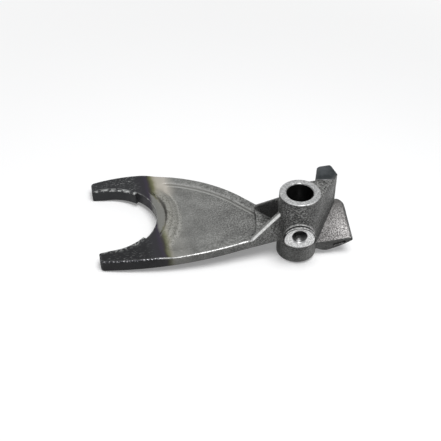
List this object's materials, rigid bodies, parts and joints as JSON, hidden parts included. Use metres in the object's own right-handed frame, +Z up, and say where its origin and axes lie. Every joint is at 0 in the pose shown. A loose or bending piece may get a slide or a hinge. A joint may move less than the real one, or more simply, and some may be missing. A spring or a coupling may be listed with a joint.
{
  "type": "shift fork",
  "caption": "Forged steel gearbox shift fork: a two-fingered mouth on a ribbed web, a rail bore with a lock screw boss, and a selector bracket.",
  "frame": {"origin": "centre of the rail bore at the hub's foot", "axes": "+Z up the rail bore; the fork's mouth opens towards -X and the selector bracket stands on the +X side"},
  "size_m": [0.1863, 0.1049, 0.0553],
  "materials": {
    "forged_steel": "shot-blasted forging skin with milled faces and dark hardened finger ends"
  },
  "bodies": {
    "root": {"shift_fork": "forged_steel"}
  },
  "joints": []
}
